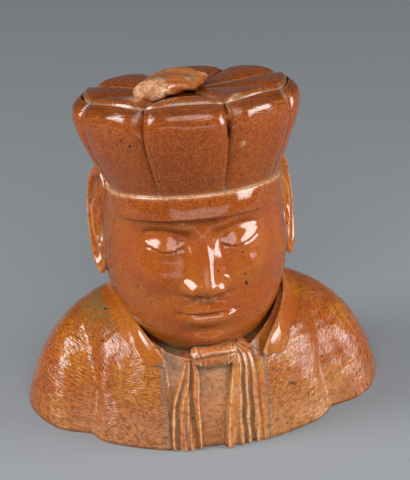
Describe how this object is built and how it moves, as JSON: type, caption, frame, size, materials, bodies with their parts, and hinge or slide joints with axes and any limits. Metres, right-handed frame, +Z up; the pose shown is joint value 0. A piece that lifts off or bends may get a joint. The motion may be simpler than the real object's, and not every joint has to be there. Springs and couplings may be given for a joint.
{
  "type": "figural tobacco jar",
  "caption": "Hollow glazed stoneware jar shaped as a bust in a coat and cravat, its tall lobed cap forming the mouth, closed by a lobed lift-off lid with a rolled knob",
  "frame": {"origin": "middle of the bounding box in X and Y, on the plane of the underside", "axes": "+Z up, the figure looks along -Y, +X is to the viewer's right when facing the figure"},
  "size_m": [0.1666, 0.1098, 0.1677],
  "materials": {
    "glazed_stoneware": "glossy orange-brown salt glaze with fine dark speckle",
    "glazed_stoneware_lid": "glossy orange-brown salt glaze, pale unglazed edge"
  },
  "bodies": {
    "root": {"jar": "glazed_stoneware", "lid": "glazed_stoneware_lid"}
  },
  "joints": []
}
